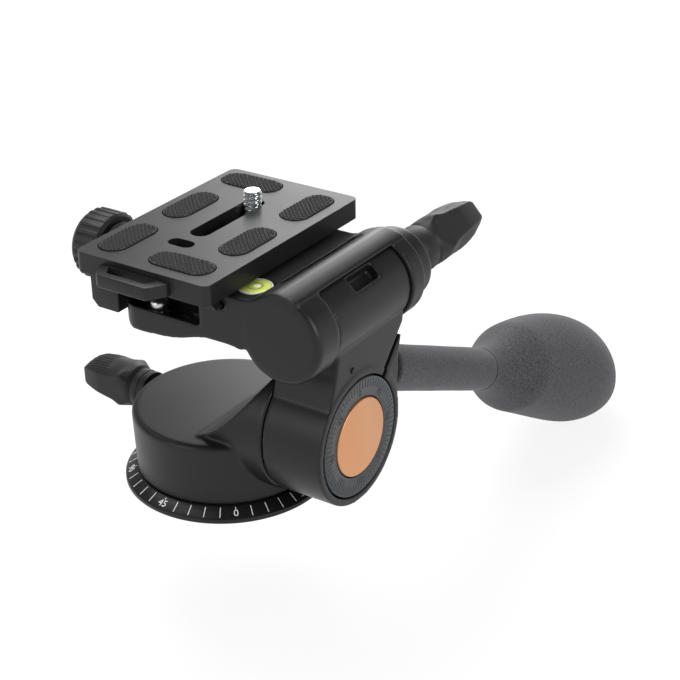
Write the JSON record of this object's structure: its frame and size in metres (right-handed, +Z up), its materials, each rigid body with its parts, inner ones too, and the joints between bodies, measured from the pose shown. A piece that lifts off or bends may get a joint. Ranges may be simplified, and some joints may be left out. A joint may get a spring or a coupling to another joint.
{
  "type": "photographic three-way head",
  "caption": "Compact three-way camera head: pan turret on a degree disc, tilt arm with a foam-ball handle, side-roll platform with a dovetail clamp and a quick-release plate.",
  "frame": {"origin": "centre of the base underside, on the pan axis", "axes": "+Z up along the pan axis, +X along the tilt shaft towards its cap, +Y rearwards, the way the handle points"},
  "size_m": [0.1092, 0.2, 0.1215],
  "materials": {
    "disc_black": "satin",
    "bush_brass": "machined",
    "spindle_steel": "machined",
    "turret_black": "satin",
    "washer_nylon": "matte",
    "screw_steel": "machined",
    "stud_chrome": "polished",
    "collar_black": "matte",
    "knob_black": "matte",
    "shaft_steel": "machined",
    "dial_grey": "satin",
    "cap_copper": "satin",
    "arm_black": "satin",
    "rod_steel": "machined",
    "foam_grey": "foam",
    "yoke_black": "satin",
    "level_green": "clear",
    "jaw_black": "satin",
    "plate_black": "satin",
    "pad_rubber": "crosshatched"
  },
  "bodies": {
    "base": {"base_disc": "disc_black", "thread_bush": "bush_brass", "pan_spindle": "spindle_steel", "base_screw_1": "screw_steel", "base_screw_2": "screw_steel", "base_screw_3": "screw_steel"},
    "turret": {"pan_body": "turret_black", "thrust_washer": "washer_nylon", "retaining_screw": "screw_steel", "tilt_shaft": "shaft_steel", "tilt_dial": "dial_grey", "shaft_screw": "screw_steel", "shaft_cap": "cap_copper"},
    "pan_lock": {"pan_lock_stud": "stud_chrome", "pan_lock_collar": "collar_black", "pan_lock_knob": "knob_black"},
    "arm": {"tilt_arm": "arm_black", "tilt_washer": "washer_nylon", "roll_bush_front": "bush_brass", "roll_bush_rear": "bush_brass"},
    "handle": {"handle_rod": "rod_steel", "handle_collar": "collar_black", "handle_sleeve": "foam_grey", "ball_grip": "foam_grey"},
    "platform": {"platform_yoke": "yoke_black", "roll_shaft": "shaft_steel", "bubble_level": "level_green", "guide_pin_front": "screw_steel", "guide_pin_rear": "screw_steel", "safety_spring": "screw_steel"},
    "roll_lock": {"roll_neck": "collar_black", "roll_lock_bolt": "stud_chrome", "roll_lock_knob": "knob_black"},
    "jaw": {"moving_jaw": "jaw_black"},
    "clamp": {"clamp_collar": "collar_black", "clamp_stud": "stud_chrome", "clamp_knob": "knob_black"},
    "plate": {"quick_release_plate": "plate_black", "pad_1": "pad_rubber", "pad_2": "pad_rubber", "pad_3": "pad_rubber", "pad_4": "pad_rubber", "pad_5": "pad_rubber", "pad_6": "pad_rubber"},
    "plate_screw": {"camera_screw": "stud_chrome"},
    "safety": {"safety_pin": "stud_chrome"}
  },
  "joints": [
    {"name": "pan", "type": "hinge", "parent": "base", "child": "turret", "pos_m": [0, 0, 0.0165], "axis": [0, 0, 1], "continuous": true},
    {"name": "tilt", "type": "hinge", "parent": "turret", "child": "arm", "pos_m": [0.036, 0, 0.0249], "axis": [1, 0, 0], "range_deg": [-30, 75]},
    {"name": "roll", "type": "hinge", "parent": "arm", "child": "platform", "pos_m": [0.036, 0, 0.0609], "axis": [0, 1, 0], "range_deg": [0, 90]},
    {"name": "pan_lock_turn", "type": "hinge", "parent": "turret", "child": "pan_lock", "pos_m": [-0.03354, 0.00205, 0.0165], "axis": [-0.9981, 0.061, 0], "range_deg": [-180, 180]},
    {"name": "handle_twist", "type": "hinge", "parent": "arm", "child": "handle", "pos_m": [0.0365, 0.02, 0.0347], "axis": [0, 0.907, -0.421], "range_deg": [-120, 120]},
    {"name": "roll_lock_turn", "type": "hinge", "parent": "platform", "child": "roll_lock", "pos_m": [0.036, 0.0478, 0.0609], "axis": [0, 1, 0], "range_deg": [-180, 180]},
    {"name": "jaw_slide", "type": "slide", "parent": "platform", "child": "jaw", "axis": [-1, 0, 0], "range_m": [0, 0.002]},
    {"name": "clamp_turn", "type": "hinge", "parent": "jaw", "child": "clamp", "pos_m": [-0.0363, 0.0002, 0.0618], "axis": [-1, 0, 0], "range_deg": [0, 720]},
    {"name": "plate_slide", "type": "slide", "parent": "platform", "child": "plate", "axis": [0, 1, 0], "range_m": [-0.02, 0.02]},
    {"name": "camera_screw_turn", "type": "hinge", "parent": "plate", "child": "plate_screw", "pos_m": [-0.0017, 0.019, 0.0725], "axis": [0, 0, 1], "continuous": true},
    {"name": "safety_press", "type": "slide", "parent": "platform", "child": "safety", "axis": [0, 0, -1], "range_m": [0, 0.0012], "stiffness_N_per_m": 400, "deforming": ["safety_spring"]}
  ],
  "couplings": [
    {"joint": "jaw_slide", "follows": "clamp_turn", "m_per_rad": 0.00015915}
  ]
}
